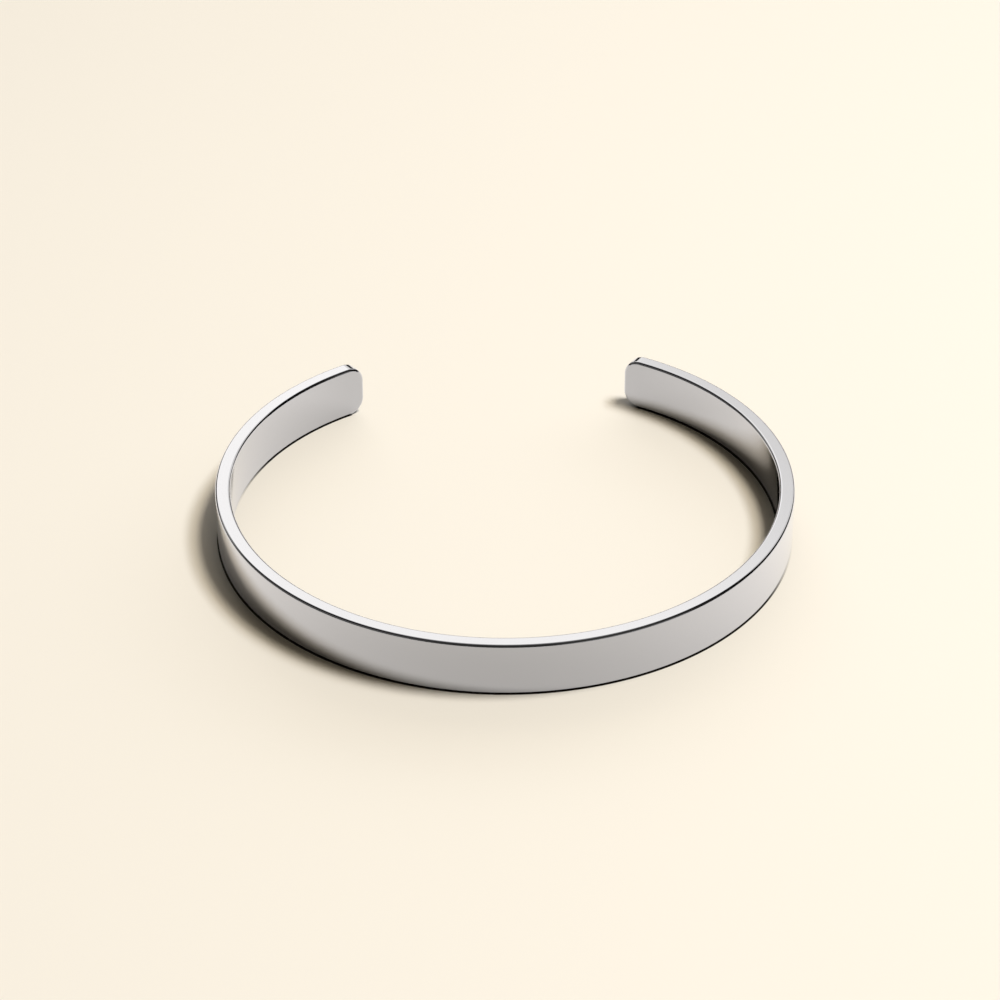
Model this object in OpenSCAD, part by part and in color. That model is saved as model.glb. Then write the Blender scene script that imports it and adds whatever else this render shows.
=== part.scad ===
/* [Cuff] */
// Width inside the cuff, across its widest place
inside_w = 59.2; // [54:0.2:68]
// Thickness of the bar
wall = 1.65; // [1.2:0.05:2.4]
// Width of the band, from one long edge to the other
band_w = 6; // [5:0.1:10]
// Radius of the softened edges
edge_r = 0.3; // [0.1:0.05:0.5]

/* [Back] */
// How much smaller the radius of the back bends is than the front's
back_tighter = 1.65; // [0:0.05:3]
// Angle of each back bend
back_a = 57.3; // [49.5, 52.8, 57.3, 61.5]

/* [Tips] */
// Length of the straight stretch at each tip
tip_l = 2.2; // [2.1:0.1:4]
// Radius of the tip's corners, seen from the side
corner_r = 1.9; // [1:0.1:2]

/* [Hidden] */
$fn = 180;
// Facets on the small round edges
edge_fn = 48;
// The front of the cuff is half a circle
front_turn = 180;
// How far a tip's bar runs into its bend, so that the two are one solid
join = 0.002;
// Radius of the outer face at the front, and at the back bends
front_r = inside_w / 2 + wall;
back_r = front_r - back_tighter;
// How far behind the centre of the front the tips reach
bend_reach = (back_r - edge_r) * sin(back_a);
tip_reach = bend_reach + (tip_l - edge_r) * cos(back_a) + edge_r;
// Where that centre lies, so that the cuff's box is centred on the origin
centre_y = (front_r - tip_reach) / 2;

// A rectangle with its lower left corner at the origin and all four corners rounded
module soft_rectangle(width, height) {
    translate([edge_r, 0]) square([width - 2 * edge_r, height]);
    translate([0, edge_r]) square([width, height - 2 * edge_r]);
    for (x = [edge_r, width - edge_r], y = [edge_r, height - edge_r]) {
        translate([x, y]) circle(r = edge_r, $fn = edge_fn);
    }
}

// The same rectangle, rounded at its far end alone
module soft_end(width, length) {
    square([width, length - edge_r]);
    translate([edge_r, 0]) square([width - 2 * edge_r, length]);
    for (x = [edge_r, width - edge_r]) {
        translate([x, length - edge_r]) circle(r = edge_r, $fn = edge_fn);
    }
}

// A bent stretch of the bar round the origin, standing on its long edge
module bend(outer_r, start_a, turn_a) {
    rotate_extrude(angle = turn_a, start = start_a)
        translate([outer_r - wall, 0])
            soft_rectangle(wall, band_w);
}

// A quarter of a soft-edged disc as thick as the bar, with its centre at the origin
module tip_corner(start_a) {
    rotate([90, 0, 90])
        rotate_extrude(angle = 90, start = start_a)
            rotate([0, 0, -90])
                mirror([1, 0])
                    soft_end(wall, corner_r);
}

// The straight tip, from the end of a back bend, with its inner face on the Y axis
module tip() {
    corner_y = tip_l - corner_r;
    translate([0, corner_y, 0])
        rotate([90, 0, 0])
            linear_extrude(corner_y + join)
                soft_rectangle(wall, band_w);
    translate([0, corner_y, corner_r])
        linear_extrude(band_w - 2 * corner_r)
            soft_end(wall, corner_r);
    translate([0, corner_y, band_w - corner_r]) tip_corner(0);
    translate([0, corner_y, corner_r]) tip_corner(-90);
}

// The right back bend and its tip, seen from the centre of the front
module arm() {
    translate([back_tighter, 0, 0]) {
        bend(back_r, 0, back_a);
        rotate([0, 0, back_a])
            translate([back_r - wall, 0, 0])
                tip();
    }
}

// One flat bar, bent round and left open at the back
module cuff() {
    color("silver")
        translate([0, centre_y, 0]) {
            bend(front_r, 180, front_turn);
            arm();
            mirror([1, 0, 0]) arm();
        }
}

cuff();
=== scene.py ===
import math

import bpy
from mathutils import Matrix, Vector


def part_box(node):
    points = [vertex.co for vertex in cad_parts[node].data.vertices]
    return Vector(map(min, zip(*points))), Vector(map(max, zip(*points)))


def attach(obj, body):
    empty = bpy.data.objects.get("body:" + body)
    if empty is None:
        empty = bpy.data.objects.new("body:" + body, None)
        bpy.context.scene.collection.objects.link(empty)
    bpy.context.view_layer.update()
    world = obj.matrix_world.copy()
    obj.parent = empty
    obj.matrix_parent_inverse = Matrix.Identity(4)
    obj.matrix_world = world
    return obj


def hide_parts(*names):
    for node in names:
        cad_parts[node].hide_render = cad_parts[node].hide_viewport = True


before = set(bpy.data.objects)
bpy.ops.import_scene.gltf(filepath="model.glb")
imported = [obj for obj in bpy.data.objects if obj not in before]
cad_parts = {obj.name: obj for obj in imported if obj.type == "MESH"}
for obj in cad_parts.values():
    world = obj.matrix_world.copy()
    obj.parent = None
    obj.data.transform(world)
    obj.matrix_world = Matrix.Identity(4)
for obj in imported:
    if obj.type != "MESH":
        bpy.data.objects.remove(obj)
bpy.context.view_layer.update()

# Cuff: a plain open bangle made of one flat stainless steel bar. The bar is cut to length, its ends are
# rounded and its edges softened on a wheel, and it is bent round a mandrel and polished to a mirror. It
# lies on its lower long edge.
MM = 0.001
WALL = 1.65 * MM
BAND_W = 6 * MM
FRONT_R = 31.25 * MM
BACK_R = 29.6 * MM
BACK_A = math.radians(57.3)
TIP_L = 2.2 * MM
CORNER_R = 1.9 * MM
EDGE_R = 0.3 * MM
FRONT_STEPS = 120
BACK_STEPS = 76
CORNER_STEPS = 24
EDGE_STEPS = 8
ROUND = 0.5
SHARP_A = math.radians(40)
NEAR = 0.01 * MM

cuff_low, cuff_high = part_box("cuff")
centre_y = cuff_low.y + FRONT_R

# The bar's section at the middle of the front, standing on its long edge
bpy.ops.object.select_all(action="DESELECT")
bpy.ops.mesh.primitive_plane_add(
    size=1, location=(0, cuff_low.y + WALL / 2, BAND_W / 2), rotation=(0, math.pi / 2, 0)
)
cuff = bpy.context.object
cuff.name = "cuff_bar"
cuff.scale = (BAND_W, WALL, 1)
bpy.ops.object.transform_apply(location=True, rotation=True, scale=True)

# Half of the cuff: the front, the back bend, which is a little tighter, and the straight tip
bpy.ops.object.mode_set(mode="EDIT")
bpy.ops.mesh.select_mode(type="FACE")
bpy.ops.mesh.select_all(action="SELECT")
bpy.ops.mesh.spin(
    steps=FRONT_STEPS, angle=math.pi / 2, center=(0, centre_y, 0), axis=(0, 0, -1)
)
bpy.ops.mesh.spin(
    steps=BACK_STEPS, angle=BACK_A, center=(FRONT_R - BACK_R, centre_y, 0), axis=(0, 0, -1)
)
bpy.ops.mesh.extrude_region_move(
    TRANSFORM_OT_translate={"value": (-math.sin(BACK_A) * TIP_L, math.cos(BACK_A) * TIP_L, 0)}
)
bpy.ops.object.mode_set(mode="OBJECT")

# The face at the middle goes, and the other half joins there
for face in cuff.data.polygons:
    face.select = abs(face.center.x) < NEAR
bpy.ops.object.mode_set(mode="EDIT")
bpy.ops.mesh.delete(type="ONLY_FACE")
bpy.ops.object.mode_set(mode="OBJECT")
mirror = cuff.modifiers.new("other_half", "MIRROR")
mirror.use_axis = (True, False, False)
mirror.merge_threshold = NEAR
bpy.ops.object.modifier_apply(modifier=mirror.name)

# Round corners at the tips: the two short edges across the bar at each end
tip_y = max(vertex.co.y for vertex in cuff.data.vertices)
bpy.ops.object.mode_set(mode="EDIT")
bpy.ops.mesh.select_mode(type="EDGE")
bpy.ops.mesh.select_all(action="DESELECT")
bpy.ops.object.mode_set(mode="OBJECT")
for edge in cuff.data.edges:
    start, end = (cuff.data.vertices[i].co for i in edge.vertices)
    along = end - start
    level = abs(along.z) < NEAR
    as_long = abs(along.length - WALL) < NEAR
    at_tip = max(start.y, end.y) > tip_y - NEAR
    edge.select = level and as_long and at_tip
bpy.ops.object.mode_set(mode="EDIT")
bpy.ops.mesh.bevel(
    offset=CORNER_R, segments=CORNER_STEPS, profile=ROUND, affect="EDGES", clamp_overlap=False
)
bpy.ops.mesh.select_all(action="SELECT")
bpy.ops.mesh.normals_make_consistent(inside=False)
bpy.ops.object.mode_set(mode="OBJECT")

# All edges softened, round the tips too
soften = cuff.modifiers.new("softened_edges", "BEVEL")
soften.limit_method = "ANGLE"
soften.angle_limit = SHARP_A
soften.width = EDGE_R
soften.segments = EDGE_STEPS
soften.use_clamp_overlap = False
bpy.ops.object.modifier_apply(modifier=soften.name)
bpy.ops.object.shade_smooth()

# Places on the bar, kept for the finish: how far along it from the middle of the front, how deep into it
# and how far up it, in millimetres. The polish marks follow these round both bends. The same places give the
# true direction that each face looks in, so that flat faces mirror as flat ones and edges as round ones.
LENGTH_FRONT = FRONT_R * math.pi / 2
LENGTH_BACK = BACK_R * BACK_A
LENGTH_HALF = LENGTH_FRONT + LENGTH_BACK + TIP_L
bar_place = cuff.data.attributes.new("bar_place", "FLOAT_VECTOR", "POINT")
true_normals = []
for vertex in cuff.data.vertices:
    side = math.copysign(1, vertex.co.x)
    forward = vertex.co.y - centre_y
    if forward <= 0:
        middle_x, bend_r = 0, FRONT_R
        turn = math.atan2(abs(vertex.co.x), -forward)
        along = FRONT_R * turn
        turn -= math.pi / 2
    else:
        middle_x, bend_r = FRONT_R - BACK_R, BACK_R
        turn = min(math.atan2(forward, abs(vertex.co.x) - middle_x), BACK_A)
        along = LENGTH_FRONT + BACK_R * turn
    from_middle = Vector((abs(vertex.co.x) - middle_x, forward))
    outwards = Vector((math.cos(turn), math.sin(turn)))
    onwards = Vector((-math.sin(turn), math.cos(turn)))
    if turn == BACK_A:
        along += from_middle.dot(onwards)
    deep = bend_r - from_middle.dot(outwards)
    bar_place.data[vertex.index].vector = (side * along / MM, deep / MM, vertex.co.z / MM)

    # The way to the nearest edge, round the tip's corners too, and how much the soft edge turns there
    to_corner = Vector((
        along - (LENGTH_HALF - CORNER_R),
        abs(vertex.co.z - BAND_W / 2) - (BAND_W / 2 - CORNER_R),
    ))
    if min(to_corner) > 0:
        edge_way, from_edge = to_corner.normalized(), CORNER_R - to_corner.length
    elif to_corner.x > to_corner.y:
        edge_way, from_edge = Vector((1, 0)), CORNER_R - to_corner.x
    else:
        edge_way, from_edge = Vector((0, 1)), CORNER_R - to_corner.y
    over_edge = max(EDGE_R - from_edge, 0)
    over_face = min(max(deep, EDGE_R), WALL - EDGE_R) - deep
    way = outwards * over_face + onwards * over_edge * edge_way.x
    rise = math.copysign(over_edge * edge_way.y, vertex.co.z - BAND_W / 2)
    true_normals.append(Vector((side * way.x, way.y, rise)).normalized())
cuff.data.normals_split_custom_set_from_vertices(true_normals)

# Polished stainless steel: close to a mirror, a little blue beside a cream floor. A mop leaves very fine
# lines along the bar, a slight waviness, and a thin haze that handling makes uneven. The patterns' sizes are
# in millimetres, as the places on the bar are.
STEEL = "#A4A7B0"
STEEL_WORN = "#A0A3AC"
STEEL_SLANT = "#EBEFFD"
SLANT = 0.667
POLISHED = 0.05
HAZED = 0.1
# Real polish lines are about 0.02 mm wide. They are drawn 0.15 mm wide, so that they show.
LINE_W = 0.15
LINE_L = 9.0
LINE_H = 0.00017
LINE_DETAIL = 2
LINE_ROUGHNESS = 0.5
WAVE_W = 5.0
WAVE_H = 0.002
HAZE_W = 7.0
HAZE_DETAIL = 3
HAZE_ROUGHNESS = 0.6
HAZE_SWIRL = 0.4
HAZE_THINNEST = 0.35
HAZE_THICKEST = 0.7
# The sockets of a Mix node for colours: its share, its two colours and its result
MIX_SHARE = 0
MIX_FIRST = 6
MIX_SECOND = 7
MIX_RESULT = 2


def linear(hex_colour):
    """An sRGB hex colour as linear red, green, blue and alpha."""
    parts = [int(hex_colour[i : i + 2], 16) / 255 for i in (1, 3, 5)]
    return [p / 12.92 if p <= 0.04045 else ((p + 0.055) / 1.055) ** 2.4 for p in parts] + [1]


def add_node(tree, kind, settings=(), values=(), links=()):
    """Adds a node, with its settings, the values of its sockets and the links into them."""
    node = tree.nodes.new(kind)
    for name, value in dict(settings).items():
        setattr(node, name, value)
    for name, value in dict(values).items():
        node.inputs[name].default_value = value
    for name, output in dict(links).items():
        tree.links.new(output, node.inputs[name])
    return node


steel = bpy.data.materials.new("polished_stainless_steel")
steel.use_nodes = True
steel_tree = steel.node_tree
steel_tree.nodes.clear()
place_node = add_node(steel_tree, "ShaderNodeAttribute", {"attribute_name": "bar_place"})
line_place = add_node(
    steel_tree,
    "ShaderNodeVectorMath",
    {"operation": "MULTIPLY"},
    {1: (1 / LINE_L, 1 / LINE_W, 1 / LINE_W)},
    {0: place_node.outputs["Vector"]},
)
polish_lines = add_node(
    steel_tree,
    "ShaderNodeTexNoise",
    values={"Scale": 1, "Detail": LINE_DETAIL, "Roughness": LINE_ROUGHNESS},
    links={"Vector": line_place.outputs["Vector"]},
)
waves = add_node(
    steel_tree,
    "ShaderNodeTexNoise",
    values={"Scale": 1 / WAVE_W, "Detail": 0},
    links={"Vector": place_node.outputs["Vector"]},
)
haze = add_node(
    steel_tree,
    "ShaderNodeTexNoise",
    values={
        "Scale": 1 / HAZE_W,
        "Detail": HAZE_DETAIL,
        "Roughness": HAZE_ROUGHNESS,
        "Distortion": HAZE_SWIRL,
    },
    links={"Vector": place_node.outputs["Vector"]},
)
wave_bump = add_node(
    steel_tree,
    "ShaderNodeBump",
    values={"Strength": 1, "Distance": WAVE_H * MM},
    links={"Height": waves.outputs["Fac"]},
)
line_bump = add_node(
    steel_tree,
    "ShaderNodeBump",
    values={"Strength": 1, "Distance": LINE_H * MM},
    links={"Height": polish_lines.outputs["Fac"], "Normal": wave_bump.outputs["Normal"]},
)
gloss = add_node(
    steel_tree,
    "ShaderNodeMapRange",
    values={
        "From Min": HAZE_THINNEST,
        "From Max": HAZE_THICKEST,
        "To Min": POLISHED,
        "To Max": HAZED,
    },
    links={"Value": haze.outputs["Fac"]},
)
tone = add_node(
    steel_tree,
    "ShaderNodeMix",
    {"data_type": "RGBA"},
    {MIX_FIRST: linear(STEEL), MIX_SECOND: linear(STEEL_WORN)},
    {MIX_SHARE: haze.outputs["Fac"]},
)
# Its gloss: it mirrors about two fifths of what it faces head-on, and nearly all at a slant
slant = add_node(steel_tree, "ShaderNodeLayerWeight", values={"Blend": SLANT})
mirror_gloss = add_node(
    steel_tree,
    "ShaderNodeMix",
    {"data_type": "RGBA"},
    {MIX_SECOND: linear(STEEL_SLANT)},
    {MIX_SHARE: slant.outputs["Facing"], MIX_FIRST: tone.outputs[MIX_RESULT]},
)
steel_shader = add_node(
    steel_tree,
    "ShaderNodeBsdfPrincipled",
    values={"Metallic": 1},
    links={
        "Base Color": mirror_gloss.outputs[MIX_RESULT],
        "Roughness": gloss.outputs["Result"],
        "Normal": line_bump.outputs["Normal"],
    },
)
add_node(steel_tree, "ShaderNodeOutputMaterial", links={"Surface": steel_shader.outputs["BSDF"]})
cuff.data.materials.clear()
cuff.data.materials.append(steel)

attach(cuff, "root")
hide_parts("cuff")

# Floor: a sheet of smooth matt card in pale cream, far wider than the view. It lies flat under the cuff,
# and its own soft tone shows off the metal.
FLOOR_W = 6
CREAM = "#E9EBE8"
CARD_ROUGHNESS = 0.9
CARD_SHINE = 0.2
# Colour of the painted contact shade: the card is painted near black where the bar meets it
PAINTED_SHADE_TONE = "#17130F"
TOUCH_FROM = -0.1 * MM
TOUCH_TO = 0
TOUCH_MIRRORED = 0.13 * MM
TOUCH_END = BACK_A + (TIP_L - CORNER_R) / BACK_R
TOUCH_FADE = 0.475 * MM
TOUCH_GONE = TOUCH_END + TOUCH_FADE / BACK_R
LAMP_SIDE_FROM = 0.85
LAMP_SIDE_TO = 1.0
BACKDROP_CREAM = "#FDF6E4"
SWEEP_START = 0.17
SWEEP_END = 0.42
bpy.ops.object.select_all(action="DESELECT")
bpy.ops.mesh.primitive_plane_add(size=FLOOR_W, location=(0, 0, 0))
floor = bpy.context.object
floor.name = "floor"
card = bpy.data.materials.new("matt_card")
card.use_nodes = True
card_tree = card.node_tree
card_tree.nodes.clear()
# Light hardly reaches the card under the bar's soft lower edges, so a thin line of shade is painted into the
# card's colour, dark where the bar meets it. It follows the bar's plan as far as the rounded corners, where
# the tips leave the card, and is lost where a wall faces the lamps. Seen in the metal the painted line is
# wider, a painted reflection that darkens the bar's soft lower edge too. Each row works out one step of this:
# its name, what it does, and the numbers or earlier steps that it takes.
card_place = add_node(card_tree, "ShaderNodeTexCoord").outputs["Object"]
plan = add_node(card_tree, "ShaderNodeSeparateXYZ", links={0: card_place})
steps = {
    "x": plan.outputs["X"],
    "y": plan.outputs["Y"],
    "mirrored": add_node(card_tree, "ShaderNodeLightPath").outputs["Is Glossy Ray"],
}
for name, operation, *terms in (
    # How far the place lies inside the outer wall and inside the inner one, at the front or on a back bend
    ("from_front", "SUBTRACT", "y", centre_y),
    ("at_back", "GREATER_THAN", "from_front", 0),
    ("tighter", "MULTIPLY", "at_back", FRONT_R - BACK_R),
    ("half", "ABSOLUTE", "x"),
    ("from_side", "SUBTRACT", "half", "tighter"),
    ("side_square", "MULTIPLY", "from_side", "from_side"),
    ("square", "MULTIPLY_ADD", "from_front", "from_front", "side_square"),
    ("to_middle", "SQRT", "square"),
    ("bend_r", "SUBTRACT", FRONT_R, "tighter"),
    ("inwards", "SUBTRACT", "bend_r", "to_middle"),
    ("outwards", "SUBTRACT", WALL, "inwards"),
    ("nearer", "MINIMUM", "inwards", "outwards"),
    # Whether that is under the bar's flat edge, and before the tip's round corner
    ("wider", "MULTIPLY_ADD", "mirrored", TOUCH_MIRRORED, "nearer"),
    ("under_bar", "SMOOTH", "wider", TOUCH_FROM, TOUCH_TO),
    ("beside_tip", "ARCTAN2", "from_front", "from_side"),
    ("before_tip", "SMOOTH", "beside_tip", TOUCH_GONE, TOUCH_END),
    # How squarely the nearer wall faces to the right, towards the lamps
    ("right", "SIGN", "x"),
    ("across", "DIVIDE", "from_side", "to_middle"),
    ("outer_facing", "MULTIPLY", "across", "right"),
    ("over_outer", "SUBTRACT", "outwards", "inwards"),
    ("outer_side", "SIGN", "over_outer"),
    ("lamp_side", "MULTIPLY", "outer_facing", "outer_side"),
    ("unlit", "SMOOTH", "lamp_side", LAMP_SIDE_TO, LAMP_SIDE_FROM),
    ("on_bar", "MULTIPLY", "under_bar", "before_tip"),
    # How strongly the painted shade darkens the card here
    ("painted_shade", "MULTIPLY", "on_bar", "unlit"),
):
    if operation == "SMOOTH":
        term, least, most = terms
        steps[name] = add_node(
            card_tree,
            "ShaderNodeMapRange",
            {"interpolation_type": "SMOOTHSTEP", "label": name},
            {"From Min": least, "From Max": most},
            {"Value": steps[term]},
        ).outputs["Result"]
    else:
        steps[name] = add_node(
            card_tree,
            "ShaderNodeMath",
            {"operation": operation, "label": name},
            {place: term for place, term in enumerate(terms) if term not in steps},
            {place: steps[term] for place, term in enumerate(terms) if term in steps},
        ).outputs["Value"]
# The card's cream, with the contact shade painted in as a dark colour
card_and_painted_shade = add_node(
    card_tree,
    "ShaderNodeMix",
    {"data_type": "RGBA"},
    {MIX_FIRST: linear(CREAM), MIX_SECOND: linear(PAINTED_SHADE_TONE)},
    {MIX_SHARE: steps["painted_shade"]},
)
card_shader = add_node(
    card_tree,
    "ShaderNodeBsdfPrincipled",
    values={"Roughness": CARD_ROUGHNESS, "Specular IOR Level": CARD_SHINE},
    links={"Base Color": card_and_painted_shade.outputs[MIX_RESULT]},
)
# Beyond the photo's view the card turns into a lit backdrop of the same cream, so low views show no join
far_off = add_node(card_tree, "ShaderNodeVectorMath", {"operation": "LENGTH"}, (), {0: card_place})
sweep = add_node(
    card_tree,
    "ShaderNodeMapRange",
    {"interpolation_type": "SMOOTHSTEP"},
    {"From Min": SWEEP_START, "From Max": SWEEP_END},
    {"Value": far_off.outputs["Value"]},
)
lit_card = add_node(card_tree, "ShaderNodeEmission", values={"Color": linear(BACKDROP_CREAM)})
card_and_sweep = add_node(
    card_tree,
    "ShaderNodeMixShader",
    links={0: sweep.outputs["Result"], 1: card_shader.outputs["BSDF"], 2: lit_card.outputs["Emission"]},
)
add_node(card_tree, "ShaderNodeOutputMaterial", links={"Surface": card_and_sweep.outputs["Shader"]})
floor.data.materials.append(card)

# Light: what stands round a small product set. Large white panels stand behind and overhead, with little
# light on the left and on the camera's side, and the metal mirrors them. Two soft lamps high on the right
# cast the shadow. The lamps and the panels marked "floor" light the floor alone, and those marked "metal"
# show in the metal alone.
LAMP_WHITE = "#FFF9EC"
LOW_WHITE = "#FFFCFC"
HIGH_CREAM = "#FFE7C3"
LOWEST_WHITE = 0.2
HIGHEST_CREAM = 0.95
CAMERA_TURN = math.radians(-2.85)
FAR_SIDE = math.pi / 2 + CAMERA_TURN
AHEAD = 0.1
PANELS = (
    # name, what it shows on, turn to the right from the far side, height, roll, half width, half height and
    # softness of its edge, all in degrees, and strength
    ("behind", "all", 7, 32, 0, 28.5, 15, 3, 0.93),
    ("behind_left", "all", -14, 38, 31, 15, 20, 2.5, 0.46),
    ("overhead", "all", 10, 72, 0, 14, 12, 8, 0.45),
    ("front", "all", 180, 50, 0, 60, 30, 10, 0.07),
    ("left_corner", "metal", -48, 24, 0, 9, 7, 4, 0.42),
    ("left", "metal", -105, 24, 0, 42, 20, 8, 0.1),
    ("front_right", "metal", 134, 14, 0, 24, 7, 5, 0.45),
    ("low_behind", "floor", 22, 13, 0, 45, 13, 5, 2.0),
    ("high_right", "floor", 118, 70, 0, 16, 10, 6, 1.3),
)


def towards(turn, height):
    """The direction of a place round the set: degrees to the right of the far side, and degrees up."""
    around, up = FAR_SIDE - math.radians(turn), math.radians(height)
    return Vector((math.cos(up) * math.cos(around), math.cos(up) * math.sin(around), math.sin(up)))


world = bpy.data.worlds.new("studio")
bpy.context.scene.world = world
world.use_nodes = True
world_tree = world.node_tree
world_tree.nodes.clear()
direction = add_node(world_tree, "ShaderNodeTexCoord").outputs["Generated"]
ray = add_node(world_tree, "ShaderNodeLightPath")
mirrored = ray.outputs["Is Glossy Ray"]
not_mirrored = add_node(
    world_tree, "ShaderNodeMath", {"operation": "SUBTRACT"}, {0: 1}, {1: mirrored}
).outputs["Value"]
# A panel is an oblong on the dome round the set, soft at all four edges. Two of its directions give its width
# and height, and the third keeps it to its own side of the dome and carries its strength.
strength = None
for panel, shows_on, turn, height, roll, half_wide, half_high, softness, power in PANELS:
    facing = towards(turn, height)
    level = facing.cross((0, 0, 1)).normalized()
    rolled = Matrix.Rotation(math.radians(roll), 3, facing)
    sides = (rolled @ level, half_wide), (rolled @ level.cross(facing), half_high), (facing, None)
    shown = None
    for axis, half in sides:
        reach = add_node(
            world_tree, "ShaderNodeVectorMath", {"operation": "DOT_PRODUCT"}, {1: axis}, {0: direction}
        ).outputs["Value"]
        if half is None:
            near, far = AHEAD, 0
        else:
            reach = add_node(
                world_tree, "ShaderNodeMath", {"operation": "ABSOLUTE"}, (), {0: reach}
            ).outputs["Value"]
            near, far = (math.sin(math.radians(half + side * softness)) for side in (-1, 1))
        edge = add_node(
            world_tree,
            "ShaderNodeMapRange",
            {"label": panel, "interpolation_type": "SMOOTHSTEP"},
            {"From Min": far, "From Max": near, "To Max": power if half is None else 1},
            {"Value": reach},
        ).outputs["Result"]
        if shown is None:
            shown = edge
        else:
            shown = add_node(
                world_tree, "ShaderNodeMath", {"operation": "MULTIPLY"}, (), {0: shown, 1: edge}
            ).outputs["Value"]
    if shows_on != "all":
        only_there = {"metal": mirrored, "floor": not_mirrored}[shows_on]
        shown = add_node(
            world_tree, "ShaderNodeMath", {"operation": "MULTIPLY"}, (), {0: shown, 1: only_there}
        ).outputs["Value"]
    if strength is None:
        strength = shown
    else:
        strength = add_node(
            world_tree, "ShaderNodeMath", {"operation": "ADD"}, (), {0: strength, 1: shown}
        ).outputs["Value"]
# On the floor the low light is white, and what comes from overhead is warm
height_of = add_node(world_tree, "ShaderNodeSeparateXYZ", links={0: direction})
warmth = add_node(
    world_tree,
    "ShaderNodeMapRange",
    {"interpolation_type": "SMOOTHSTEP"},
    {"From Min": LOWEST_WHITE, "From Max": HIGHEST_CREAM},
    {"Value": height_of.outputs["Z"]},
)
floor_light = add_node(
    world_tree,
    "ShaderNodeMix",
    {"data_type": "RGBA"},
    {MIX_FIRST: linear(LOW_WHITE), MIX_SECOND: linear(HIGH_CREAM)},
    {MIX_SHARE: warmth.outputs["Result"]},
)
panel_light = add_node(
    world_tree,
    "ShaderNodeMix",
    {"data_type": "RGBA"},
    {MIX_FIRST: linear(LAMP_WHITE)},
    {MIX_SHARE: not_mirrored, MIX_SECOND: floor_light.outputs[MIX_RESULT]},
)
panels = add_node(
    world_tree,
    "ShaderNodeBackground",
    links={"Color": panel_light.outputs[MIX_RESULT], "Strength": strength},
)
# The camera itself sees the lit backdrop there, and no panel
backdrop = add_node(
    world_tree, "ShaderNodeBackground", values={"Color": linear(BACKDROP_CREAM), "Strength": 1}
)
seen = add_node(
    world_tree,
    "ShaderNodeMixShader",
    links={
        0: ray.outputs["Is Camera Ray"],
        1: panels.outputs["Background"],
        2: backdrop.outputs["Background"],
    },
)
add_node(world_tree, "ShaderNodeOutputWorld", links={"Surface": seen.outputs["Shader"]})
bpy.context.scene.cycles.caustics_reflective = False

# The lamps: two strips one above the other, so that the shadow's edge is softer and warmer on its outside
KEY_TURN = 87
KEY_DISTANCE = 0.9
KEY_W = 0.34
KEY_H = 0.16
KEYS = (
    # name, height in degrees, colour and power in watts
    ("key_upper", 71.8, "#FFEED6", 4.2),
    ("key_lower", 62.2, "#FFFCFC", 3.9),
)
for name, height, colour, watts in KEYS:
    away = towards(KEY_TURN, height)
    bpy.ops.object.light_add(
        type="AREA", location=away * KEY_DISTANCE, rotation=away.to_track_quat("Z", "Y").to_euler()
    )
    key = bpy.context.object
    key.name = name
    key.data.shape = "ELLIPSE"
    key.data.size = KEY_W
    key.data.size_y = KEY_H
    key.data.energy = watts
    key.data.color = linear(colour)[:3]
    key.visible_glossy = False
    key.visible_camera = False

# Camera: the photo's angle, with a long lens from a little left of the middle, looking down at the cuff
CAMERA_ELEVATION = math.radians(32.9)
CAMERA_DISTANCE = 374.6 * MM
CAMERA_LENS = 122.4
SENSOR_W = 36
CLIP_START = 10 * MM
AIM_X = -0.289 * MM
AIM_Y = 7.672 * MM
aim = Vector((AIM_X, AIM_Y, 0))
back = Vector((
    math.cos(CAMERA_ELEVATION) * math.sin(CAMERA_TURN),
    -math.cos(CAMERA_ELEVATION) * math.cos(CAMERA_TURN),
    math.sin(CAMERA_ELEVATION),
))
bpy.ops.object.camera_add(
    location=aim + back * CAMERA_DISTANCE, rotation=back.to_track_quat("Z", "Y").to_euler()
)
camera = bpy.context.object
camera.data.lens = CAMERA_LENS
camera.data.sensor_width = SENSOR_W
camera.data.clip_start = CLIP_START
bpy.context.scene.camera = camera
bpy.context.scene.view_settings.view_transform = "Standard"
